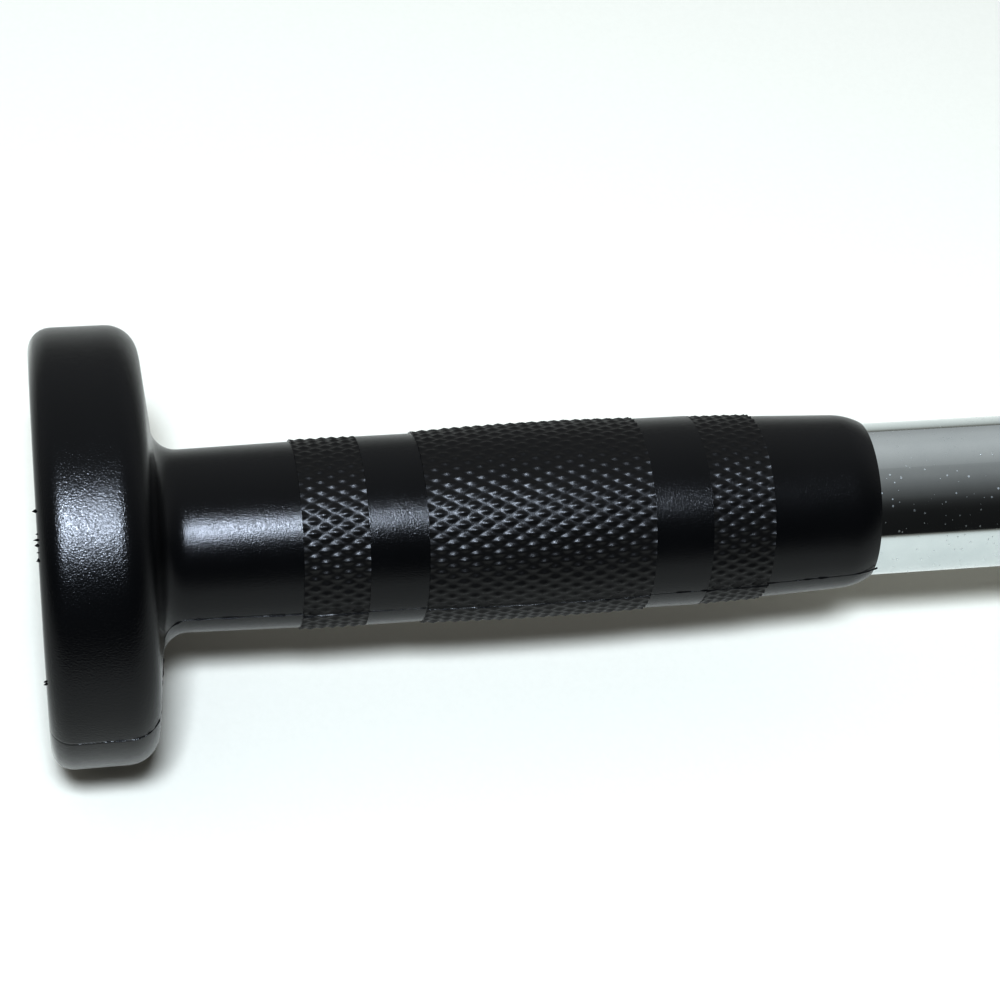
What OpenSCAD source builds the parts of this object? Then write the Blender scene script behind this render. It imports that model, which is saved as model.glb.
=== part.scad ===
// Telescopic doorway pull up bar. Two chromed tubes slide in one another on a
// trapezoidal spindle, and a one-piece moulding at each end is both the foot
// that presses on the door jamb and the hand grip.
// +X runs along the bar, from the left foot's contact face (the origin) to the
// right foot. Every part is turned about the X axis.

/* [Bar] */
// Distance between the two contact faces as drawn
bar_len = 750; // [650:1:950]
// Shortest distance between the contact faces
min_len = 650; // [640:1:650]
// Longest distance between the contact faces
max_len = 950; // [950:1:960]

/* [Tubes] */
// Outer diameter of the outer tube
outer_tube_d = 28; // [28:0.1:28.2]
// Outer diameter of the inner tube
inner_tube_d = 25; // [24.8:0.1:25]
// Wall of both tubes
tube_wall = 1.2; // [1.1:0.1:1.2]

/* [Foot] */
// Diameter of the foot disc
foot_d = 76.4; // [72:0.1:82]
// Thickness of the foot disc at its rim
foot_rim = 18.6; // [17:0.1:21]
// Radius of the disc's back corner
back_corner_r = 4; // [2:0.5:5]
// Radius of the disc's front corner
front_corner_r = 5.5; // [3:0.5:6]
// Slope of the disc's front face, in degrees
front_slope = 6; // [2:0.5:8]
// Fillet between the disc and the neck
neck_fillet_r = 4.5; // [3:0.5:6]

/* [Grip] */
// Length of the moulding, from the contact face to the mouth
grip_len = 149; // [147:0.5:151]
// Neck diameter behind the fillet
neck_d = 32.1; // [31.5:0.1:33]
// Neck diameter at the first knurled band
neck_end_d = 32.9; // [32.5:0.1:33.4]
// Start of the first knurled band
band1_x = 44.15; // [42:0.05:46]
// Start of the second knurled band
band2_x = 65.8; // [64:0.05:68]
// Start of the third knurled band
band3_x = 116.1; // [114:0.05:118]
// Width of the two narrow bands
narrow_band_w = 11.4; // [10:0.1:13]
// Width of the middle band
wide_band_w = 40; // [38:0.5:42]

/* [Screw] */
// Major diameter of the trapezoidal spindle
spindle_d = 16; // [14:0.5:17]
// Length of the nut in the inner tube
nut_len = 30; // [20:1:30]
// Diameter of the bolts in both feet
bolt_d = 8; // [6:1:8]

/* [Hidden] */
$fn = 96;

// Clearances
fit = 0.08;             // radial, a shaft that turns in a bore
tube_fit = 0.1;         // radial, the outer tube in the left grip
face_gap = 0.3;         // axial, between faces that turn past each other
washer_play = 0.2;      // radial, a washer on its bolt
cut = 1;                // how far a hole's cutter passes the surface

// Radii
foot_r = foot_d / 2;
outer_r = outer_tube_d / 2;
outer_bore = outer_r - tube_wall;
inner_r = inner_tube_d / 2;
inner_bore = inner_r - tube_wall;
grip_bore = outer_r + tube_fit;
bolt_r = bolt_d / 2;
spindle_r = spindle_d / 2;

// The foot's insides, measured from its contact face
pad_r = 31;
pad_t = 2;
plate_r = 27;
plate_x = 6;
plate_t = 3;
plate_end = plate_x + plate_t;
bolt_head_r = 10;
bolt_head_h = 4.2;
bolt_len = 32.5;        // shank beyond the plate
pad_skin = 1.2;         // rubber left over the bolt head
pad_pocket_gap = 0.6;   // radial, between the bolt head and the pad
washer_t = 1.5;
washer_r = 2.1 * bolt_r;
thrust_inset = 0.4;     // radial, the thrust washer inside the grip's bore
nut_t = 8;
hex_share = 0.75;       // share of a lock nut's height that is hexagonal
nut_collar_share = 0.44; // radius of its round collar, as a share of the flats
nut_flats = 13;         // across flats, M8

// Left end, along X
plug_x = plate_end + washer_t + face_gap;
plug_flange_t = 2;
plug_body_len = 18;
plug_end = plug_x + plug_flange_t + plug_body_len;
outer_tube_x = plug_x + plug_flange_t;
end_washer_x = plug_end + face_gap;

// Spindle, along X
anchor_x = 46;
anchor_len = 14;
spindle_tail_r = 6;
spindle_pin_r = 2.5;
spindle_pin_inset = 0.2; // each end below the tube's skin
spindle_start = anchor_x + anchor_len;
pin_x = anchor_x + anchor_len / 2;
stop_gap = 8;           // between the nut and the stop washer at the longest setting
stop_washer_t = 3;
stop_washer_inset = 0.5; // radial, inside the inner tube's bore
stop_nut_t = 8;
stop_nut_flats = 16;    // across flats, M10
stop_stud_r = 5;
stop_stud_proud = 1;    // stud beyond its nut

// Tube ends, along X
min_gap = 4;            // between the anchor and the inner tube at the shortest setting
mouth_gap = 1;          // between the collar and the right grip at the shortest setting
collar_lip = 3;
collar_skirt = 8;
collar_wall = 0.8;
collar_chamfer = 0.6;
sleeve_inset = 1;       // the reducer sleeve behind the right grip's mouth
collar_end = min_len - grip_len - mouth_gap;
outer_tube_end = collar_end - collar_lip;
inner_tube_x = spindle_start + min_gap + bar_len - min_len;
inner_tube_end = bar_len - plate_end - plug_flange_t;
spindle_stop_x = inner_tube_x + nut_len + max_len - bar_len + stop_gap;
stud_end = spindle_stop_x + stop_washer_t + stop_nut_t + stop_stud_proud;

// Skin radii of the grip between its bands: behind band 1, 2 and 3
plain_r = [16.75, 17.1, 16.5];
band1_r = 16.95;
band3_r = [17.2, 16.9];
barrel_r = [17.2, 17.65, 17.45];
barrel_steps = 8;
mouth_round_x = 6;      // length of the rounding at the mouth
mouth_start_r = 15.9;
mouth_r = 14.5;

// ---------------------------------------------------------------- helpers

// Points of an arc from angle a to angle b around centre c.
function arc(c, r, a, b, n = 12) =
    [for (i = [0:n]) let (t = a + (b - a) * i / n) c + r * [cos(t), sin(t)]];

// Radius of the circle that passes dx along and dr below its own top.
function crown(dx, dr) = (dx * dx + dr * dr) / (2 * dr);

// Turns an outline of [x, radius] points about the X axis.
module turned(outline) {
    rotate([0, 90, 0])
        rotate_extrude()
            polygon([for (p = outline) [p[1], p[0]]]);
}

// Ring or disc from x0 to x1.
module ring(x0, x1, r, bore = 0) {
    turned([[x0, bore], [x1, bore], [x1, r], [x0, r]]);
}

// Plain hole along X.
module bore(x0, x1, r) {
    translate([x0, 0, 0])
        rotate([0, 90, 0])
            cylinder(h = x1 - x0, r = r);
}

// Rod across the bar at x, through the axis.
module cross_rod(x, r, half) {
    translate([x, 0, -half])
        cylinder(h = 2 * half, r = r);
}

// Places a foot's part at the right end, facing the other way.
module at_right_end() {
    translate([bar_len, 0, 0])
        mirror([1, 0, 0])
            children();
}

// ---------------------------------------------------------------- foot and grip

front_x = foot_rim - front_corner_r;
fillet_c = [
    front_x + front_corner_r * cos(front_slope) + neck_fillet_r / cos(front_slope)
        + tan(front_slope) * (foot_r - front_corner_r * (1 - sin(front_slope))
        - neck_d / 2 - neck_fillet_r),
    neck_d / 2 + neck_fillet_r
];
barrel_rise = barrel_r[1] - (barrel_r[0] + barrel_r[2]) / 2;

// Radius of the middle band, a shallow barrel, at a share t of its width.
function barrel(t) = barrel_r[0] + (barrel_r[2] - barrel_r[0]) * t + 4 * barrel_rise * t * (1 - t);

// Outer outline of the moulding, from the contact face to the mouth.
grip_skin = concat(
    arc([back_corner_r, foot_r - back_corner_r], back_corner_r, 180, 90),
    arc([front_x, foot_r - front_corner_r], front_corner_r, 90, front_slope),
    arc(fillet_c, neck_fillet_r, 180 + front_slope, 270),
    [
        [band1_x, neck_end_d / 2], [band1_x, band1_r],
        [band1_x + narrow_band_w, band1_r], [band1_x + narrow_band_w, plain_r[0]],
        [band2_x, plain_r[0]]
    ],
    [
        for (i = [0:barrel_steps])
            let (t = i / barrel_steps) [band2_x + wide_band_w * t, barrel(t)]
    ],
    [
        [band2_x + wide_band_w, plain_r[1]], [band3_x, plain_r[1]],
        [band3_x, band3_r[0]], [band3_x + narrow_band_w, band3_r[1]],
        [band3_x + narrow_band_w, plain_r[2]]
    ],
    let (r = crown(mouth_round_x, mouth_start_r - mouth_r))
        arc([grip_len - mouth_round_x, mouth_start_r - r], r, 90, acos(mouth_round_x / r), 6)
);

module grip_moulding() {
    turned(concat(
        grip_skin,
        [
            [grip_len, grip_bore], [plate_end, grip_bore], [plate_end, plate_r],
            [pad_t, plate_r], [pad_t, pad_r], [0, pad_r]
        ]
    ));
}

// Rubber pad with a pocket over the bolt head.
module face_pad() {
    pocket_r = bolt_head_r + pad_pocket_gap;
    turned([
        [0, 0], [0, pad_r], [pad_t, pad_r], [pad_t, plate_r], [plate_x, plate_r],
        [plate_x, pocket_r], [pad_skin, pocket_r], [pad_skin, 0]
    ]);
}

// Square length of a carriage bolt, from x0 to x1.
module square_neck(x0, x1, half) {
    translate([x0, -half, -half])
        cube([x1 - x0, 2 * half, 2 * half]);
}

// Steel disc that spreads the load over the foot, with a square hole.
module backing_plate() {
    difference() {
        ring(plate_x, plate_end, plate_r);
        square_neck(plate_x - cut, plate_end + cut, bolt_r);
    }
}

// Carriage bolt: domed head, square neck, round shank.
module carriage_bolt() {
    dome_r = crown(bolt_head_r, bolt_head_h);
    dome_angle = asin(bolt_head_r / dome_r);
    turned(concat(
        arc([plate_x - bolt_head_h + dome_r, 0], dome_r, 180, 180 - dome_angle),
        [[plate_x, 0]]
    ));
    square_neck(plate_x, plate_end, bolt_r);
    ring(plate_end, plate_end + bolt_len, bolt_r);
}

module flat_washer(x) {
    ring(x, x + washer_t, washer_r, bolt_r + washer_play);
}

// Hexagon lock nut with its round nylon collar.
module lock_nut(x, flats, t, hole_r) {
    hex_t = hex_share * t;
    difference() {
        union() {
            translate([x, 0, 0])
                rotate([0, 90, 0])
                    cylinder(h = hex_t, r = flats / sqrt(3), $fn = 6);
            ring(x + hex_t, x + t, nut_collar_share * flats);
        }
        bore(x - cut, x + t + cut, hole_r);
    }
}

// Plug with a flange over the tube's end and a hole for the bolt.
module end_plug(x, body_r) {
    turned([
        [x, bolt_r + fit], [x, outer_r], [x + plug_flange_t, outer_r],
        [x + plug_flange_t, body_r], [x + plug_flange_t + plug_body_len, body_r],
        [x + plug_flange_t + plug_body_len, bolt_r + fit]
    ]);
}

// ---------------------------------------------------------------- left foot

module left_grip() {
    color("#17191c") grip_moulding();
}

module left_face_pad() {
    color("#101113") face_pad();
}

module left_backing_plate() {
    color("silver") backing_plate();
}

module left_pivot_bolt() {
    color("silver") carriage_bolt();
}

module left_thrust_washer() {
    color("ivory")
        ring(plate_end, plate_end + washer_t, outer_r - thrust_inset, bolt_r + fit);
}

module left_end_washer() {
    color("silver") flat_washer(end_washer_x);
}

module left_lock_nut() {
    color("silver") lock_nut(end_washer_x + washer_t, nut_flats, nut_t, bolt_r);
}

// ---------------------------------------------------------------- outer tube

module outer_tube() {
    color("#c9cdd0")
        difference() {
            ring(outer_tube_x, outer_tube_end, outer_r, outer_bore);
            cross_rod(pin_x, spindle_pin_r, outer_r + cut);
        }
}

module outer_end_plug() {
    color("dimgray") end_plug(plug_x, outer_bore);
}

module spindle_anchor() {
    color("gray")
        difference() {
            ring(anchor_x, spindle_start, outer_bore, spindle_tail_r);
            cross_rod(pin_x, spindle_pin_r, outer_r);
        }
}

module spindle_pin() {
    color("silver") cross_rod(pin_x, spindle_pin_r, outer_r - spindle_pin_inset);
}

module spindle() {
    color("gray")
        difference() {
            union() {
                ring(anchor_x, spindle_start, spindle_tail_r);
                ring(spindle_start, spindle_stop_x, spindle_r);
                ring(spindle_stop_x, stud_end, stop_stud_r);
            }
            cross_rod(pin_x, spindle_pin_r, outer_r);
        }
}

module spindle_stop_washer() {
    color("silver")
        ring(spindle_stop_x, spindle_stop_x + stop_washer_t,
            inner_bore - stop_washer_inset, stop_stud_r);
}

module spindle_stop_nut() {
    color("silver")
        lock_nut(spindle_stop_x + stop_washer_t, stop_nut_flats, stop_nut_t, stop_stud_r);
}

// Bush on the outer tube's mouth that guides the inner tube.
module mouth_collar() {
    collar_r = outer_r + collar_wall;
    color("#17191c")
        turned([
            [outer_tube_end - collar_skirt, outer_r], [outer_tube_end, outer_r],
            [outer_tube_end, inner_r + fit], [collar_end, inner_r + fit],
            [collar_end, collar_r - collar_chamfer], [collar_end - collar_chamfer, collar_r],
            [outer_tube_end - collar_skirt, collar_r]
        ]);
}

// ---------------------------------------------------------------- inner tube and right foot

rivet_r = 2;
rivet_inset = 0.05;     // each head below the tube's skin
rivet_depth_gap = 1;    // between a rivet's foot and the nut's bore
rivet_x = inner_tube_x + nut_len / 2;

module inner_tube() {
    color("#c9cdd0")
        difference() {
            ring(inner_tube_x, inner_tube_end, inner_r, inner_bore);
            cross_rod(rivet_x, rivet_r, inner_r + cut);
        }
}

module spindle_nut() {
    color("gray")
        difference() {
            ring(inner_tube_x, inner_tube_x + nut_len, inner_bore, spindle_r + fit);
            cross_rod(rivet_x, rivet_r, inner_r + cut);
        }
}

// Two flush rivets that hold the nut in the tube, clear of the spindle.
module nut_rivets() {
    color("silver")
        difference() {
            cross_rod(rivet_x, rivet_r, inner_r - rivet_inset);
            cross_rod(rivet_x, rivet_r + cut, spindle_r + rivet_depth_gap);
        }
}

// Makes the inner tube up to the outer tube's diameter inside the right grip.
module reducer_sleeve() {
    color("ivory")
        ring(bar_len - grip_len + sleeve_inset, inner_tube_end, grip_bore, inner_r);
}

module inner_end_plug() {
    color("dimgray") at_right_end() end_plug(plate_end, inner_bore);
}

module right_grip() {
    color("#17191c") at_right_end() grip_moulding();
}

module right_face_pad() {
    color("#101113") at_right_end() face_pad();
}

module right_backing_plate() {
    color("silver") at_right_end() backing_plate();
}

module right_clamp_bolt() {
    color("silver") at_right_end() carriage_bolt();
}

module right_lock_washer() {
    color("silver") at_right_end() flat_washer(plate_end + plug_flange_t + plug_body_len);
}

module right_lock_nut() {
    color("silver")
        at_right_end()
            lock_nut(plate_end + plug_flange_t + plug_body_len + washer_t, nut_flats, nut_t, bolt_r);
}

left_grip();
left_face_pad();
left_backing_plate();
left_pivot_bolt();
left_thrust_washer();
left_end_washer();
left_lock_nut();
outer_tube();
outer_end_plug();
spindle_anchor();
spindle_pin();
spindle();
spindle_stop_washer();
spindle_stop_nut();
mouth_collar();
inner_tube();
spindle_nut();
nut_rivets();
reducer_sleeve();
inner_end_plug();
right_grip();
right_face_pad();
right_backing_plate();
right_clamp_bolt();
right_lock_washer();
right_lock_nut();
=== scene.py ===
"""Looks of the telescopic doorway pull up bar: knurled grips, tubes, hardware, floor and light."""

import math

import bpy
import numpy as np
from mathutils import Matrix, Vector


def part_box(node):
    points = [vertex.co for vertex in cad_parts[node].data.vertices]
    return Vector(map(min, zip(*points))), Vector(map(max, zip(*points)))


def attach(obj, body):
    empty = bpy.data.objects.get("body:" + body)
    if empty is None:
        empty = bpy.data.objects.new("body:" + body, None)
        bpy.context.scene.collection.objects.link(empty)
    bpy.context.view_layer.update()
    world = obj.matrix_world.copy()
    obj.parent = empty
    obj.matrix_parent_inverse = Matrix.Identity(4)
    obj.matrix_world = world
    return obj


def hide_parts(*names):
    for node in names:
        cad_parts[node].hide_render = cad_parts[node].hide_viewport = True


MM = 0.001
TAU = 2 * math.pi

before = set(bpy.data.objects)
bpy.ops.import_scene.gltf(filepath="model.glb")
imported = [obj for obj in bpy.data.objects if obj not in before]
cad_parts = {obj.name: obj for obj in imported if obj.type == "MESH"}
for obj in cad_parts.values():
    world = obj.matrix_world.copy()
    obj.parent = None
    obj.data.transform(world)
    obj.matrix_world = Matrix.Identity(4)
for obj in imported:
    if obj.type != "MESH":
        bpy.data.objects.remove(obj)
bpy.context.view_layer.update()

# ------------------------------------------------------------------ sizes, in millimetres

BAR_LEN = 750.0
FOOT_R = 38.2
BACK_R = 4.0
FRONT_R = 5.5
FRONT_X = 13.1
FRONT_SLOPE = 6.0
FILLET_C = (24.43, 20.55)
FILLET_R = 4.5
PAD_R = 31.0
PAD_T = 2.0
PAD_GAP = 0.05  # inset of the pad's face, corners and spigot
HEAD_POCKET_R = 10.6  # pocket over the bolt head
HEAD_POCKET_X = 1.3
FACE_RIM = 1.2  # inner part of the contact face, beside the pad
EDGE_BREAK = 0.08
SPIGOT_R = 27.0
SPIGOT_END = 6.0
PLATE_END = 9.0
GRIP_BORE = 14.1
GRIP_LEN = 149.0
NECK_END_R = 16.45
NARROW_W = 11.4
WIDE_W = 40.0
BANDS = (  # start, width, diamonds along
    (44.15, NARROW_W, 3),
    (65.8, WIDE_W, 10),
    (116.1, NARROW_W, 3),
)
PLAIN_R = (16.75, 17.1, 16.5)  # of the plain land after each band
FIRST_BAND_R = 16.95
BARREL_START_R = 17.2
BARREL_MID_R = 17.65
BARREL_END_R = 17.45
THIRD_BAND_R = 17.2
THIRD_BAND_TAPER = 0.3
MOUTH_ROUND = 6.0
MOUTH_START_R = 15.9
MOUTH_R = 14.5
BORE_LIP = 0.25
LIP_OUT = 0.1  # the bore's lip lies this far inside the mouth
LIP_IN = 0.5

DIAMONDS = 50  # around the grip; too few, the real grip has about 56 to 58
STEPS = 8  # mesh steps per diamond, each way
COLUMNS = DIAMONDS * STEPS
KNURL_H = 0.50
TIP_ROUND = 0.32
GROOVE_ROUND = 0.16
TIP_SPREAD = 0.16  # unevenness of the tips, as a share of their height
TIP_TABLE = (97, 89)  # size of the table of tip heights, which repeats
SKIN_SPREAD = 0.010  # unevenness of the knurled bands

SEAM_HALF = 0.13  # the parting groove
SEAM_DEPTH = 0.07
MOUTH_SKEW = 1.2  # how much shorter the moulding is trimmed on its camera side
SKEW_START = 128.0
WAVE_H = (0.05, 0.04)  # the skin is out of round by this much, in three and in two waves
VIEW_TILT = math.radians(58)  # camera above the horizon

WEB_START = 6.5  # the seam's flash, measured along the skin's outline
WEB_END = 0.4
WEB_STEP = 0.3
WEB_H = 0.352
WEB_SINK = 0.05
WEB_LEAN = 0.05
WEB_HALF = 0.06
WEB_ROOT = -0.16

BURR_ANGLES = (112, 119, 124, 160)  # degrees around the disc
BURR_SIZE = 0.8
BURR_TEETH = 3

SPINDLE_R = 8.0
SPINDLE_ROOT = 5.75
SPINDLE_START = 60.0
SPINDLE_LEAD = 4.0
TAIL_START = 46.0
TAIL_R = 6.0
STUD_R = 5.0
STUD_LEN = 12.0
SCREW_GAP = 0.02  # the screw is this much inside its CAD solid
SCREW_COLUMNS = 48
SCREW_STEP = 0.4
THREAD_FOOT = 0.16  # share of the pitch where the flank starts
THREAD_FLANK = 0.10
THREAD_FADE = 3.0
TAIL_CHAMFER = 0.3
STUD_CHAMFER = 0.4

FLOOR_GAP = 0.00005  # metres
FLOOR_Z = -FOOT_R * MM - FLOOR_GAP
FLOOR_HALF = 8.0  # metres


# ------------------------------------------------------------------ mesh helpers


def arc(cx, cr, radius, start, end, n):
    """Outline points of an arc around (cx, cr), angles in degrees."""
    a = np.radians(np.linspace(start, end, n + 1))
    return [(cx + radius * math.cos(t), cr + radius * math.sin(t)) for t in a]


def straight(p, q, n):
    """n points after p on the way to q, q included."""
    return [(p[0] + (q[0] - p[0]) * i / n, p[1] + (q[1] - p[1]) * i / n) for i in range(1, n + 1)]


def barrel(t):
    """Radius of the middle band at a share t of its width."""
    rise = BARREL_MID_R - (BARREL_START_R + BARREL_END_R) / 2
    return BARREL_START_R + (BARREL_END_R - BARREL_START_R) * t + 4 * rise * t * (1 - t)


def band_radius(index, t):
    """Radius over the diamonds' tips of one band, at a share t of its width."""
    return (FIRST_BAND_R, barrel(t), THIRD_BAND_R - THIRD_BAND_TAPER * t)[index]


def make_object(name, verts, faces, materials, sharp=40.0, slots=None):
    """A smooth-shaded mesh object from points in millimetres, with each face's material number in slots."""
    mesh = bpy.data.meshes.new(name)
    mesh.from_pydata((np.asarray(verts) * MM).tolist(), [], faces)
    mesh.update()
    mesh.polygons.foreach_set("use_smooth", [True] * len(mesh.polygons))
    mesh.set_sharp_from_angle(angle=math.radians(sharp))
    for material in materials:
        mesh.materials.append(material)
    if slots is not None:
        mesh.polygons.foreach_set("material_index", slots)
    obj = bpy.data.objects.new(name, mesh)
    bpy.context.scene.collection.objects.link(obj)
    return obj


def turned(outline, columns):
    """Points and quads of a closed outline of (x, radius), turned about the bar's axis."""
    pts = np.array(outline, float)
    rows = len(pts)
    angle = np.arange(columns) * TAU / columns
    x = np.repeat(pts[:, 0:1], columns, 1)
    r = np.repeat(pts[:, 1:2], columns, 1)
    verts = np.stack([x, r * np.cos(angle), r * np.sin(angle)], 2).reshape(-1, 3)
    faces = []
    for i in range(rows):
        j = (i + 1) % rows
        for k in range(columns):
            m = (k + 1) % columns
            faces.append((i * columns + k, i * columns + m, j * columns + m, j * columns + k))
    return verts, faces


# ------------------------------------------------------------------ the moulding's skin


def skin_rows():
    """Rows of the skin from the contact face to the mouth: (x, radius, band or -1)."""
    back = arc(BACK_R, FOOT_R - BACK_R, BACK_R, 180, 90, 7)
    front = arc(FRONT_X, FOOT_R - FRONT_R, FRONT_R, 90, FRONT_SLOPE, 9)
    fillet = arc(*FILLET_C, FILLET_R, 180 + FRONT_SLOPE, 270, 8)
    rows = [(0.0, PAD_R + FACE_RIM)] + back + straight(back[-1], front[0], 4)[:-1] + front
    rows += straight(front[-1], fillet[0], 3)[:-1] + fillet
    start = BANDS[0][0]
    rows += straight(fillet[-1], (start, NECK_END_R), 10)
    rows = [(x, r, -1) for x, r in rows]
    for b, (x0, width, along) in enumerate(BANDS):
        steps = along * STEPS
        rows += [(x0 + width * i / steps, band_radius(b, i / steps), b) for i in range(steps + 1)]
        plain = PLAIN_R[b]
        if b < 2:
            rows += [(x, r, -1) for x, r in [(x0 + width, plain)]
                     + straight((x0 + width, plain), (BANDS[b + 1][0], plain), 4)]
    x1 = BANDS[2][0] + NARROW_W
    mouth_x = GRIP_LEN - MOUTH_ROUND
    drop = MOUTH_START_R - MOUTH_R
    crown = (MOUTH_ROUND**2 + drop**2) / (2 * drop)
    end = math.degrees(math.acos(MOUTH_ROUND / crown))
    tail = [(x1, PLAIN_R[2])] + straight((x1, PLAIN_R[2]), (mouth_x, MOUTH_START_R), 7)
    tail += arc(mouth_x, MOUTH_START_R - crown, crown, 90, end, 7)[1:]
    rows += [(x, r, -1) for x, r in tail]
    return rows


def core_rows():
    """Rows of the moulding's inside, from the mouth back to the contact face."""
    points = [(GRIP_LEN - LIP_OUT, GRIP_BORE + BORE_LIP), (GRIP_LEN - LIP_IN, GRIP_BORE)]
    points += [(GRIP_LEN / 2, GRIP_BORE), (PLATE_END, GRIP_BORE), (PLATE_END, SPIGOT_R)]
    points += [(PAD_T, SPIGOT_R), (PAD_T, PAD_R), (EDGE_BREAK, PAD_R), (0.0, PAD_R + EDGE_BREAK)]
    return [(x, r, -1) for x, r in points]


def rounded(t, low, high):
    """A ramp from 0 to 1 with its foot and its tip rounded."""
    foot = np.sqrt(t * t + low * low) - low
    return 1 - (np.sqrt((1 - foot) ** 2 + high * high) - high)


def knurl(band, t, angle, table):
    """Depth below the band's top, for shares t along the band and angles around it."""
    along = BANDS[band][2]
    u = t * along + angle * DIAMONDS / TAU
    v = t * along - angle * DIAMONDS / TAU
    off_u = np.abs(2 * (u - np.floor(u)) - 1)
    off_v = np.abs(2 * (v - np.floor(v)) - 1)
    cell = table[np.floor(u).astype(int) % TIP_TABLE[0], np.floor(v).astype(int) % TIP_TABLE[1]]
    rise = np.clip(1 - np.hypot(off_u, off_v), 0, 1)
    return KNURL_H * (1 - rounded(rise, GROOVE_ROUND, TIP_ROUND) * (1 - TIP_SPREAD * cell))


def moulding_mesh(seed):
    """Points and faces of one grip, with knurled bands and a parting groove on both sides."""
    rng = np.random.default_rng(seed)
    table = rng.random(TIP_TABLE)
    skin, core = skin_rows(), core_rows()
    rows = skin + core
    base = [(k * TAU / COLUMNS, 0.0) for k in range(COLUMNS)]
    half = COLUMNS // 2
    seams = [(0.0, SEAM_HALF), (math.pi, -SEAM_HALF), (math.pi, SEAM_HALF), (TAU, -SEAM_HALF)]
    columns = [base[0], seams[0]] + base[1:half] + [seams[1], base[half], seams[2]]
    columns += base[half + 1:] + [seams[3]]
    angle0 = np.array([c[0] for c in columns])
    offset = np.array([c[1] for c in columns])
    groove = np.zeros(len(columns))
    groove[[0, columns.index(base[half])]] = SEAM_DEPTH
    n = len(columns)
    x = np.zeros((len(rows), n))
    r = np.zeros((len(rows), n))
    ang = np.zeros((len(rows), n))
    for i, (px, pr, band) in enumerate(rows):
        ang[i] = angle0 + offset / pr
        x[i] = px
        r[i] = pr
        if band >= 0:
            x0, width, _ = BANDS[band]
            r[i] -= knurl(band, (px - x0) / width, ang[i], table)
            r[i] += rng.normal(0, SKIN_SPREAD, n)
        if i < len(skin):
            r[i] -= groove
    share = np.clip((x - SKEW_START) / (GRIP_LEN - SKEW_START), 0, 1) ** 2
    facing = -np.cos(ang) * math.cos(VIEW_TILT) + np.sin(ang) * math.sin(VIEW_TILT)
    x -= MOUTH_SKEW * share * (1 + facing) / 2
    wave = WAVE_H[0] * np.sin(3 * ang + 0.08 * x + seed) + WAVE_H[1] * np.sin(2 * ang - 0.05 * x)
    outside = np.zeros((len(rows), 1))
    outside[: len(skin)] = 1
    r += wave * outside
    verts = np.stack([x, r * np.cos(ang), r * np.sin(ang)], 2).reshape(-1, 3)
    faces, slots = [], []
    for i in range(len(rows)):
        j = (i + 1) % len(rows)
        band = rows[i][2] if rows[i][2] == rows[j][2] else -1
        if band >= 0:
            x0, width, along = BANDS[band]
            t = ((rows[i][0] + rows[j][0]) / 2 - x0) / width * along
        for k in range(n):
            m = (k + 1) % n
            a, b, c, d = i * n + k, i * n + m, j * n + m, j * n + k
            if band < 0:
                faces.append((a, b, c, d))
                slots.append(0)
                continue
            q = (ang[i, k] + (ang[i, m] if m else TAU)) / 2 * DIAMONDS / TAU
            near_u = abs(t + q - round(t + q))
            near_v = abs(t - q - round(t - q))
            if near_u < near_v:
                faces += [(a, b, d), (b, c, d)]
            else:
                faces += [(a, b, c), (a, c, d)]
            slots += [1, 1]
    return verts, faces, slots


def smooth_noise(rng, count, step):
    """Smooth random values from 0 to 1, one new value every step samples."""
    knots = rng.random(count // step + 3)
    at = np.arange(count) / step
    low = np.floor(at).astype(int)
    f = at - low
    f = f * f * (3 - 2 * f)
    return knots[low] * (1 - f) + knots[low + 1] * f


def flash_mesh(seed):
    """Thin ragged moulding flash that stands in the parting groove on both sides."""
    rng = np.random.default_rng(seed)
    path = np.array([(x, r) for x, r, _ in skin_rows()])
    seg = np.hypot(*np.diff(path, axis=0).T)
    dist = np.concatenate([[0], np.cumsum(seg)])
    s = np.arange(WEB_START, dist[-1] - WEB_END, WEB_STEP)
    px, pr = np.interp(s, dist, path[:, 0]), np.interp(s, dist, path[:, 1])
    tx, tr = np.gradient(px), np.gradient(pr)
    length = np.hypot(tx, tr)
    nx, nr = -tr / length, tx / length
    verts, faces = [], []
    for side in (1, -1):
        height = WEB_H * smooth_noise(rng, len(s), 3) * smooth_noise(rng, len(s), 17) - WEB_SINK
        lean = WEB_LEAN * (smooth_noise(rng, len(s), 9) - 0.5)
        first = len(verts)
        for i in range(len(s)):
            for w, h in ((-WEB_HALF, WEB_ROOT), (lean[i], height[i]), (WEB_HALF, WEB_ROOT)):
                q = pr[i] + nr[i] * h
                verts.append((px[i] + nx[i] * h, side * q, w))
        for i in range(len(s) - 1):
            a = first + 3 * i
            for k in range(3):
                m = (k + 1) % 3
                faces.append((a + k, a + m, a + 3 + m, a + 3 + k))
        last = first + 3 * (len(s) - 1)
        faces += [(first, first + 2, first + 1), (last, last + 1, last + 2)]
    return verts, faces


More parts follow.
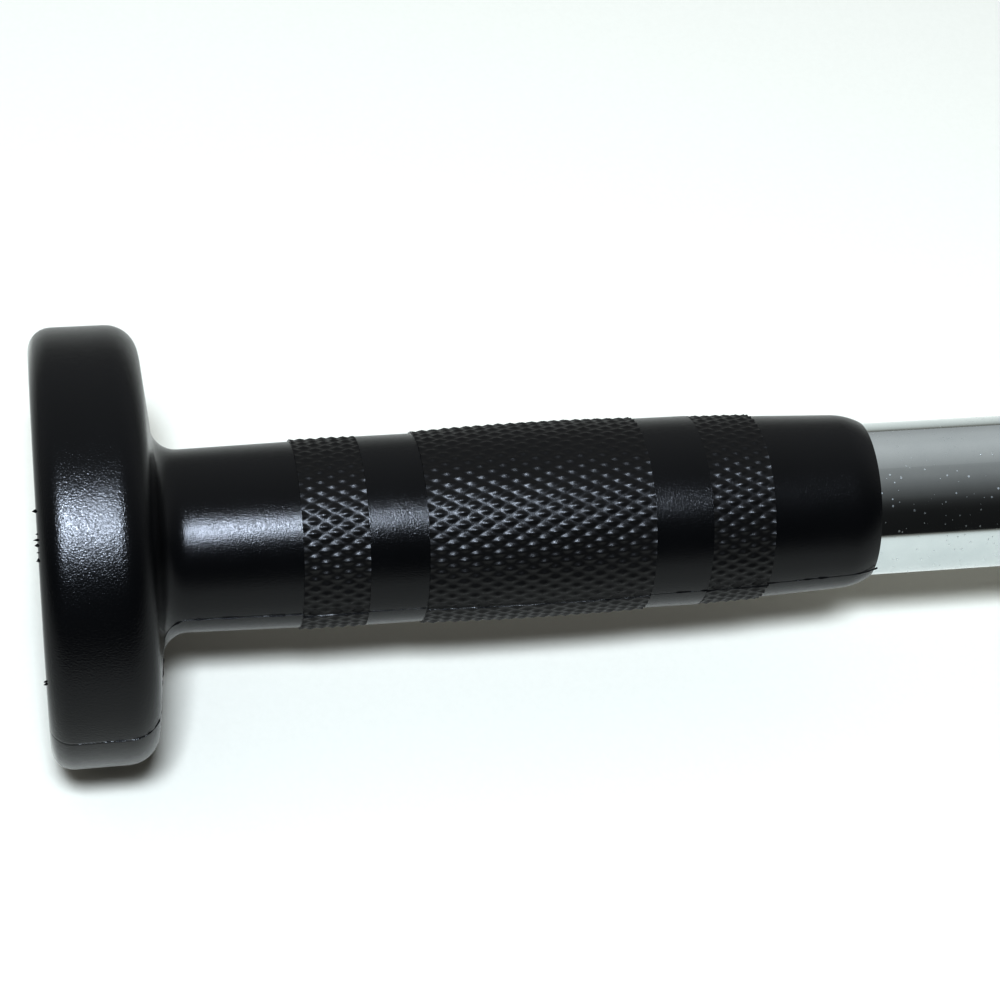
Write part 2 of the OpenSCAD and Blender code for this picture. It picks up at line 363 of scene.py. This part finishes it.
def burr_mesh(seed):
    """Small torn burrs left by trimming, on the disc's back edge."""
    rng = np.random.default_rng(seed)
    verts, faces = [], []
    tooth = ((0, 1, 2), (1, 3, 2), (3, 0, 2), (0, 3, 1))
    for angle in BURR_ANGLES:
        for _ in range(BURR_TEETH):
            a = math.radians(angle) + rng.normal(0, 0.02)
            r = FOOT_R - BACK_R + 0.5 + rng.normal(0, 0.1)
            x = -0.1
            span = (0.2 + 0.4 * rng.random()) * BURR_SIZE / FOOT_R
            reach = (0.1 + 0.6 * rng.random()) * BURR_SIZE
            first = len(verts)
            corners = ((-span, 0.3, -0.1), (span, 0.3, -0.1), (span * 0.2, -reach, 0.1), (0, 0.3, 0.2))
            for da, dx, dr in corners:
                q = r + dr
                verts.append((x + dx, q * math.cos(a + da), q * math.sin(a + da)))
            faces += [(first + p, first + q, first + w) for p, q, w in tooth]
    return verts, faces


def mirrored(verts, faces):
    """The same mesh at the right end, facing the other way."""
    v = np.array(verts, float)
    v[:, 0] = BAR_LEN - v[:, 0]
    return v, [tuple(reversed(f)) for f in faces]


# ------------------------------------------------------------------ other pieces


def pad_mesh():
    """Smooth rubber pad with a rounded edge and a pocket over the bolt head."""
    back_x = SPIGOT_END - PAD_GAP
    face = [(PAD_GAP, 0.01)]
    edge = [(PAD_GAP, PAD_R - PAD_GAP), (0.12, PAD_R), (PAD_T - PAD_GAP, PAD_R)]
    back = [(PAD_T - PAD_GAP, SPIGOT_R - PAD_GAP), (back_x, SPIGOT_R - PAD_GAP)]
    pocket = [(back_x, HEAD_POCKET_R), (HEAD_POCKET_X, HEAD_POCKET_R), (HEAD_POCKET_X, 0.01)]
    return turned(face + edge + back + pocket, 160)


def spindle_mesh(end):
    """Screw with a trapezoidal thread, a plain tail in the anchor and a stud at the far end."""
    columns = SCREW_COLUMNS
    angle = np.arange(columns) * TAU / columns
    xs = np.arange(SPINDLE_START + 0.1, end - 0.1, SCREW_STEP)
    phase = (xs[:, None] / SPINDLE_LEAD - angle[None, :] / TAU) % 1.0
    rise = np.clip((0.5 - np.abs(phase - 0.5) - THREAD_FOOT) / THREAD_FLANK, 0, 1)
    fade = np.clip(np.minimum(xs - xs[0], xs[-1] - xs) / THREAD_FADE, 0, 1)[:, None]
    thread = SPINDLE_ROOT + (SPINDLE_R - SCREW_GAP - SPINDLE_ROOT) * rise * fade
    tail_x, tail_r = TAIL_START + SCREW_GAP, TAIL_R - SCREW_GAP
    stud_x, stud_r = end + STUD_LEN - SCREW_GAP, STUD_R - SCREW_GAP
    tail = [(tail_x, 0.01), (tail_x, tail_r - TAIL_CHAMFER), (tail_x + TAIL_CHAMFER, tail_r)]
    tail += [(SPINDLE_START - SCREW_GAP, tail_r)]
    stud = [(end, stud_r), (end + STUD_LEN - STUD_CHAMFER, stud_r), (stud_x, STUD_R - STUD_CHAMFER)]
    stud += [(stud_x, 0.01)]
    plain = [np.full((1, columns), r) for _, r in tail]
    plain_end = [np.full((1, columns), r) for _, r in stud]
    r = np.concatenate(plain + [thread] + plain_end)
    x = np.concatenate([[p[0] for p in tail], xs, [p[0] for p in stud]])[:, None].repeat(columns, 1)
    verts = np.stack([x, r * np.cos(angle), r * np.sin(angle)], 2).reshape(-1, 3)
    faces = []
    for i in range(len(r) - 1):
        for k in range(columns):
            m = (k + 1) % columns
            faces.append((i * columns + k, i * columns + m, (i + 1) * columns + m, (i + 1) * columns + k))
    last = (len(r) - 1) * columns
    return verts, faces + [tuple(range(columns))[::-1], tuple(range(last, last + columns))]


# ------------------------------------------------------------------ materials


class Nodes:
    """Short names for building a material's node tree."""

    def __init__(self, name):
        self.material = bpy.data.materials.new(name)
        self.material.use_nodes = True
        self.tree = self.material.node_tree
        self.shader = self.tree.nodes["Principled BSDF"]
        self.place = self.add("ShaderNodeTexCoord").outputs["Object"]

    def add(self, kind, **values):
        node = self.tree.nodes.new(kind)
        for key, value in values.items():
            setattr(node, key, value)
        return node

    def link(self, source, target):
        self.tree.links.new(source, target)

    def stretched(self, scale):
        node = self.add("ShaderNodeMapping")
        node.inputs["Scale"].default_value = scale
        self.link(self.place, node.inputs["Vector"])
        return node.outputs["Vector"]

    def noise(self, scale, detail=2.0, rough=0.5, vector=None):
        node = self.add("ShaderNodeTexNoise")
        node.inputs["Scale"].default_value = scale
        node.inputs["Detail"].default_value = detail
        node.inputs["Roughness"].default_value = rough
        self.link(vector or self.place, node.inputs["Vector"])
        return node.outputs["Fac"]

    def cells(self, scale, vector=None):
        node = self.add("ShaderNodeTexVoronoi")
        node.inputs["Scale"].default_value = scale
        self.link(vector or self.place, node.inputs["Vector"])
        return node

    def ramp(self, value, low, high, out_low, out_high):
        node = self.add("ShaderNodeMapRange")
        node.inputs["From Min"].default_value = low
        node.inputs["From Max"].default_value = high
        node.inputs["To Min"].default_value = out_low
        node.inputs["To Max"].default_value = out_high
        self.link(value, node.inputs["Value"])
        return node.outputs["Result"]

    def maths(self, operation, a, b):
        node = self.add("ShaderNodeMath", operation=operation)
        for socket, value in zip(node.inputs, (a, b)):
            if isinstance(value, (int, float)):
                socket.default_value = value
            else:
                self.link(value, socket)
        return node.outputs["Value"]

    def blend(self, factor, low, high):
        node = self.add("ShaderNodeMix", data_type="RGBA")
        self.link(factor, node.inputs["Factor"])
        node.inputs["A"].default_value = (*low, 1)
        node.inputs["B"].default_value = (*high, 1)
        return node.outputs["Result"]

    def bump(self, height, strength, distance, normal=None):
        node = self.add("ShaderNodeBump")
        node.inputs["Strength"].default_value = strength
        node.inputs["Distance"].default_value = distance
        self.link(height, node.inputs["Height"])
        if normal is not None:
            self.link(normal, node.inputs["Normal"])
        return node.outputs["Normal"]

    def finish(self, colour, roughness, normal, metallic=0.0, ior=1.5):
        self.link(colour, self.shader.inputs["Base Color"])
        self.link(roughness, self.shader.inputs["Roughness"])
        self.link(normal, self.shader.inputs["Normal"])
        self.shader.inputs["Metallic"].default_value = metallic
        self.shader.inputs["IOR"].default_value = ior
        return self.material


def pvc():
    """Black soft PVC: satin skin with a grain, stronger on the discs, nearly gone on the contact faces."""
    n = Nodes("grip_pvc")
    split = n.add("ShaderNodeSeparateXYZ")
    n.link(n.place, split.inputs["Vector"])
    middle = n.maths("SUBTRACT", split.outputs["X"], BAR_LEN * MM / 2)
    along = n.maths("ABSOLUTE", middle, 0)
    end = BAR_LEN * MM / 2
    disc = n.ramp(along, end - 0.024, end - 0.016, 0, 1)
    face = n.ramp(along, end - 0.0012, end - 0.0004, 1, 0.12)
    cloud = n.noise(60, 4, 0.6)
    fine = n.maths("MULTIPLY", n.noise(4200, 2, 0.55), n.ramp(disc, 0, 1, 1.0, 0.5))
    coarse = n.maths("MULTIPLY", n.noise(3300, 2, 0.6), n.ramp(disc, 0, 1, 0.15, 1.25))
    grain = n.maths("MULTIPLY", n.maths("ADD", fine, coarse), face)
    colour = n.blend(cloud, (0.0030, 0.0035, 0.0042), (0.0050, 0.0056, 0.0066))
    rough = n.maths("MULTIPLY", n.ramp(cloud, 0.3, 0.7, 0.20, 0.25), n.ramp(face, 0.12, 1, 0.5, 1))
    flow = n.bump(n.noise(150, 2, 0.5), 0.12, 0.00006)
    return n.finish(colour, rough, n.bump(grain, 1.0, 0.00005, flow), ior=1.47)


def knurled_pvc():
    """The same PVC in the knurled bands, where the mould is rougher."""
    n = Nodes("grip_pvc_knurl")
    cloud = n.noise(90, 4, 0.6)
    grain = n.noise(5200, 2, 0.6)
    colour = n.blend(cloud, (0.0045, 0.0045, 0.0047), (0.0075, 0.0074, 0.0075))
    rough = n.maths("ADD", n.ramp(cloud, 0.3, 0.7, 0.33, 0.39), n.ramp(grain, 0.3, 0.7, -0.05, 0.05))
    return n.finish(colour, rough, n.bump(grain, 1.0, 0.00003), ior=1.46)


def rubber():
    """Glossy black rubber with dust in its pores."""
    n = Nodes("pad_rubber")
    dust = n.noise(400, 5, 0.7)
    pores = n.noise(2600, 3, 0.6)
    colour = n.blend(n.ramp(dust, 0.45, 0.75, 0, 1), (0.010, 0.010, 0.011), (0.035, 0.034, 0.032))
    rough = n.ramp(dust, 0.3, 0.7, 0.08, 0.13)
    return n.finish(colour, rough, n.bump(pores, 0.05, 0.00001), ior=1.5)


def plated_tube():
    """Bright plated tube: draw lines along it, tiny pits and faint stains."""
    n = Nodes("chrome_tube")
    lines = n.noise(1, 3, 0.6, n.stretched((14, 2600, 2600)))
    stain = n.noise(90, 4, 0.65)
    pits = n.cells(1500)
    chance = n.add("ShaderNodeSeparateColor")
    n.link(pits.outputs["Color"], chance.inputs["Color"])
    size = n.ramp(chance.outputs["Red"], 0.72, 1.0, 0.0, 0.34)
    pit = n.maths("LESS_THAN", pits.outputs["Distance"], size)
    colour = n.blend(stain, (0.60, 0.64, 0.65), (0.72, 0.75, 0.75))
    rough = n.maths("ADD", n.ramp(stain, 0.3, 0.7, 0.05, 0.10), n.ramp(pit, 0, 1, 0, 0.25))
    drawn = n.bump(lines, 0.10, 0.00002)
    return n.finish(colour, rough, n.bump(pit, 0.5, 0.00003, drawn), metallic=1.0)


ZINC_TINT = (0.62, 0.63, 0.62)


def zinc():
    """Zinc-plated hardware."""
    n = Nodes("zinc_steel")
    spangle = n.cells(700)
    cloud = n.noise(300, 4, 0.6)
    dark = tuple(0.82 * c for c in ZINC_TINT)
    colour = n.blend(cloud, dark, ZINC_TINT)
    rough = n.ramp(spangle.outputs["Distance"], 0, 0.8, 0.24, 0.36)
    return n.finish(colour, rough, n.bump(cloud, 0.15, 0.00004), metallic=1.0)


def oiled_steel():
    """Dark rolled steel of the spindle, with turning marks and grease."""
    n = Nodes("spindle_steel")
    turning = n.noise(1, 2, 0.5, n.stretched((5000, 60, 60)))
    grease = n.noise(120, 4, 0.6)
    colour = n.blend(grease, (0.16, 0.16, 0.165), (0.34, 0.34, 0.34))
    rough = n.ramp(grease, 0.3, 0.7, 0.22, 0.42)
    return n.finish(colour, rough, n.bump(turning, 0.25, 0.00003), metallic=1.0)


def moulded(name, low, high, rough_low, rough_high):
    """Moulded nylon with a light texture."""
    n = Nodes(name)
    cloud = n.noise(220, 4, 0.6)
    grain = n.noise(3800, 2, 0.5)
    rough = n.ramp(cloud, 0.3, 0.7, rough_low, rough_high)
    return n.finish(n.blend(cloud, low, high), rough, n.bump(grain, 0.25, 0.00003), ior=1.53)


def paper():
    """Matt white paper of the studio floor."""
    n = Nodes("studio_paper")
    fibre = n.noise(900, 4, 0.6)
    colour = n.blend(fibre, (0.66, 0.64, 0.57), (0.69, 0.67, 0.60))
    rough = n.ramp(fibre, 0, 1, 0.85, 0.95)
    return n.finish(colour, rough, n.bump(fibre, 0.05, 0.0001))


# ------------------------------------------------------------------ stage, light, camera

CAMERA_FOOT = 0.0035  # metres along the bar, where the camera stands
CAMERA_DIST = 0.4278
CAMERA_TURN = (-0.18011, 0.008929, 0.061281)  # yaw, pitch, roll
CAMERA_LENS = 87.41
SENSOR = 36.0
TOWARDS = Vector((0, -math.cos(VIEW_TILT), math.sin(VIEW_TILT)))  # from the bar to the camera
UPWARDS = Vector((0, math.sin(VIEW_TILT), math.cos(VIEW_TILT)))  # up in the picture


def make_camera():
    """The camera of the main view, aimed by its yaw, pitch and roll."""
    yaw, pitch, roll = CAMERA_TURN
    turn = Matrix.Rotation(yaw, 3, "Z") @ Matrix.Rotation(pitch, 3, "X") @ Matrix.Rotation(roll, 3, "Y")
    basis = Matrix((Vector((1, 0, 0)), -TOWARDS, UPWARDS)).transposed()
    right, forward, up = ((basis @ turn).col[i] for i in range(3))
    data = bpy.data.cameras.new("camera")
    data.lens, data.sensor_width = CAMERA_LENS, SENSOR
    data.clip_start, data.clip_end = 0.01, 50.0
    camera = bpy.data.objects.new("camera", data)
    place = Vector((CAMERA_FOOT, 0, 0)) + TOWARDS * CAMERA_DIST
    aim = Matrix((right, up, -forward)).transposed()
    camera.matrix_world = Matrix.Translation(place) @ aim.to_4x4()
    bpy.context.scene.collection.objects.link(camera)
    bpy.context.scene.camera = camera


def area_light(name, place, target, size, power, colour):
    """A rectangular lamp at a place, aimed at a target."""
    data = bpy.data.lights.new(name, "AREA")
    data.shape = "RECTANGLE"
    data.size, data.size_y = size
    data.energy = power
    data.color = colour
    light = bpy.data.objects.new(name, data)
    aim = (Vector(target) - Vector(place)).to_track_quat("-Z", "Y")
    light.matrix_world = Matrix.Translation(place) @ aim.to_matrix().to_4x4()
    bpy.context.scene.collection.objects.link(light)


LAMP_DIST = 1.0
LAMP_RISE = math.radians(11.0)  # above the line from the bar to the camera
LAMP_X = -0.038
LAMP_TARGET = (0.07, 0, -0.02)
LAMP_SIZE = (0.18, 0.12)
LAMP_POWER = 17.0
LAMP_COLOUR = (0.80, 0.88, 1.0)


def make_lights():
    """The one lamp, a small soft flash near the camera."""
    tilt = VIEW_TILT + LAMP_RISE
    place = Vector((LAMP_X, -math.cos(tilt) * LAMP_DIST, math.sin(tilt) * LAMP_DIST))
    area_light("flash", place, LAMP_TARGET, LAMP_SIZE, LAMP_POWER, LAMP_COLOUR)


ROOM = (  # angle from the near horizon over the top, in degrees, and how bright the room is there
    (0, 0.045), (35, 0.05), (48, 0.10), (58, 0.21), (76, 0.40), (95, 0.58),
    (114, 0.78), (136, 0.95), (162, 0.86), (180, 0.68),
)
ROOM_LEVEL = 0.9
ROOM_TINT = (0.97, 0.99, 1)


def make_world():
    """Dim room: pale behind and above the bar, dark on the camera's side."""
    world = bpy.data.worlds.new("room")
    world.use_nodes = True
    tree = world.node_tree
    back = tree.nodes["Background"]
    place = tree.nodes.new("ShaderNodeTexCoord")
    split = tree.nodes.new("ShaderNodeSeparateXYZ")
    tree.links.new(place.outputs["Generated"], split.inputs["Vector"])
    near = tree.nodes.new("ShaderNodeMath")
    near.operation = "MULTIPLY"
    near.inputs[1].default_value = -1.0
    tree.links.new(split.outputs["Y"], near.inputs[0])
    turn = tree.nodes.new("ShaderNodeMath")
    turn.operation = "ARCTAN2"
    tree.links.new(split.outputs["Z"], turn.inputs[0])
    tree.links.new(near.outputs[0], turn.inputs[1])
    share = tree.nodes.new("ShaderNodeMath")
    share.operation = "DIVIDE"
    share.inputs[1].default_value = math.pi
    tree.links.new(turn.outputs[0], share.inputs[0])
    ramp = tree.nodes.new("ShaderNodeValToRGB")
    ramp.color_ramp.interpolation = "B_SPLINE"
    stops = ramp.color_ramp.elements
    while len(stops) < len(ROOM):
        stops.new(0.5)
    for stop, (angle, level) in zip(stops, ROOM):
        stop.position = angle / 180
        stop.color = (*(tint * level for tint in ROOM_TINT), 1)
    tree.links.new(share.outputs[0], ramp.inputs["Fac"])
    tree.links.new(ramp.outputs["Color"], back.inputs["Color"])
    back.inputs["Strength"].default_value = ROOM_LEVEL
    bpy.context.scene.world = world


def make_floor():
    """Pale paper under the bar."""
    mesh = bpy.data.meshes.new("floor")
    signs = ((-1, -1), (1, -1), (1, 1), (-1, 1))
    corners = [(sx * FLOOR_HALF, sy * FLOOR_HALF, FLOOR_Z) for sx, sy in signs]
    mesh.from_pydata(corners, [], [(0, 1, 2, 3)])
    mesh.materials.append(paper())
    floor = bpy.data.objects.new("floor", mesh)
    bpy.context.scene.collection.objects.link(floor)


# ------------------------------------------------------------------ build


def paint(material, *names):
    """Give CAD nodes a material."""
    for name in names:
        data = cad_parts[name].data
        data.materials.clear()
        data.materials.append(material)


def build_grips():
    """Both mouldings, each with its flash and its burrs."""
    skin, knurled = pvc(), knurled_pvc()
    for side, body, seed in (("left", "left_foot", 11), ("right", "inner_bar", 12)):
        parts = [
            (f"{side}_moulding", moulding_mesh(seed), f"{side}_grip"),
            (f"{side}_flash", (*flash_mesh(seed + 20), None), None),
            (f"{side}_burrs", (*burr_mesh(seed + 40), None), None),
        ]
        for name, (verts, faces, slots), node in parts:
            if side == "right":
                verts, faces = mirrored(verts, faces)
            obj = make_object(name, verts, faces, [skin, knurled], 62.0, slots)
            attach(obj, body)
            if node:
                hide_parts(node)


def build_pads(material):
    """The rubber pads in both contact faces."""
    for side, body in (("left", "left_foot"), ("right", "inner_bar")):
        verts, faces = pad_mesh()
        if side == "right":
            verts, faces = mirrored(verts, faces)
        obj = make_object(f"{side}_pad", verts, faces, [material], 50.0)
        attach(obj, body)
        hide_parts(f"{side}_face_pad")


def build_spindle(material):
    """The threaded screw, as long as its CAD solid."""
    _, node_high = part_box("spindle")
    verts, faces = spindle_mesh(node_high.x / MM - STUD_LEN)
    obj = make_object("spindle_thread", verts, faces, [material], 30.0)
    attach(obj, "outer_bar")
    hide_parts("spindle")


def build():
    build_grips()
    build_pads(rubber())
    paint(plated_tube(), "outer_tube", "inner_tube")
    steel = zinc()
    paint(steel, "left_backing_plate", "left_pivot_bolt", "left_end_washer", "left_lock_nut")
    paint(steel, "right_backing_plate", "right_clamp_bolt", "right_lock_washer", "right_lock_nut")
    paint(steel, "spindle_pin", "spindle_stop_washer", "spindle_stop_nut", "nut_rivets")
    dark_steel = oiled_steel()
    build_spindle(dark_steel)
    paint(dark_steel, "spindle", "spindle_anchor", "spindle_nut")
    dark = moulded("dark_nylon", (0.010, 0.011, 0.012), (0.016, 0.017, 0.019), 0.34, 0.44)
    paint(dark, "outer_end_plug", "inner_end_plug", "mouth_collar")
    pale = moulded("nylon", (0.60, 0.58, 0.50), (0.70, 0.68, 0.61), 0.38, 0.50)
    paint(pale, "left_thrust_washer", "reducer_sleeve")


GAMMA = 0.667

build()
make_floor()
make_world()
make_lights()
make_camera()
bpy.context.scene.view_settings.view_transform = "Standard"
bpy.context.scene.view_settings.gamma = GAMMA
